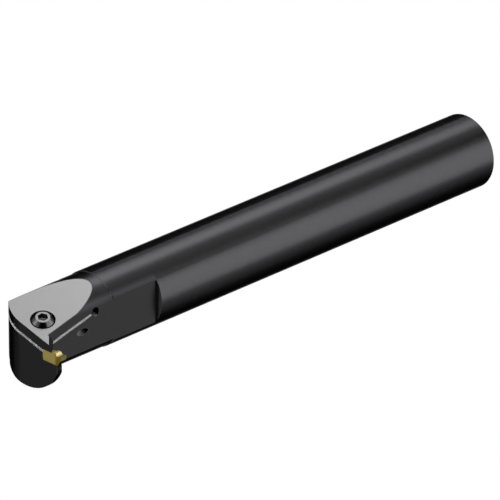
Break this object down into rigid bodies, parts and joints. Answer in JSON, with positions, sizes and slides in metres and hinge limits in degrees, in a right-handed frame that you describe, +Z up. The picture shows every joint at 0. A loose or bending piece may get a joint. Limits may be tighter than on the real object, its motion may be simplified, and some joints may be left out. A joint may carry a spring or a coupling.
{
  "type": "boring bar",
  "caption": "Round steel boring bar whose sprung jaw and cap screw clamp a small gold-coated grooving insert on a thin blade at the front",
  "frame": {"origin": "on the bar's axis, at the shoulder where the full round shank begins", "axes": "+X along the axis to the rear end, -Y the side that the insert points to, +Z up, square to both, on the side of the jaw"},
  "size_m": [0.2001, 0.031, 0.0275],
  "materials": {
    "black_steel": "black-oxidised hardened tool steel, ground pale on the jaw's top and in the slit",
    "screw_steel": "black-oxidised alloy steel with a pale ground top face",
    "coated_carbide": "sintered carbide with a gold-coloured nitride coating"
  },
  "bodies": {
    "bar": {"bar_body": "black_steel"},
    "screw": {"clamp_screw": "screw_steel"},
    "cutter": {"insert": "coated_carbide"}
  },
  "joints": [
    {"name": "screw_turn", "type": "hinge", "parent": "bar", "child": "screw", "pos_m": [-0.0436, -0.0045, 0.00615], "axis": [-0.2318, -0.2616, 0.9369], "range_deg": [0, 360]},
    {"name": "insert_slide", "type": "slide", "parent": "bar", "child": "cutter", "axis": [0, -1, 0], "range_m": [0, 0.009]}
  ]
}
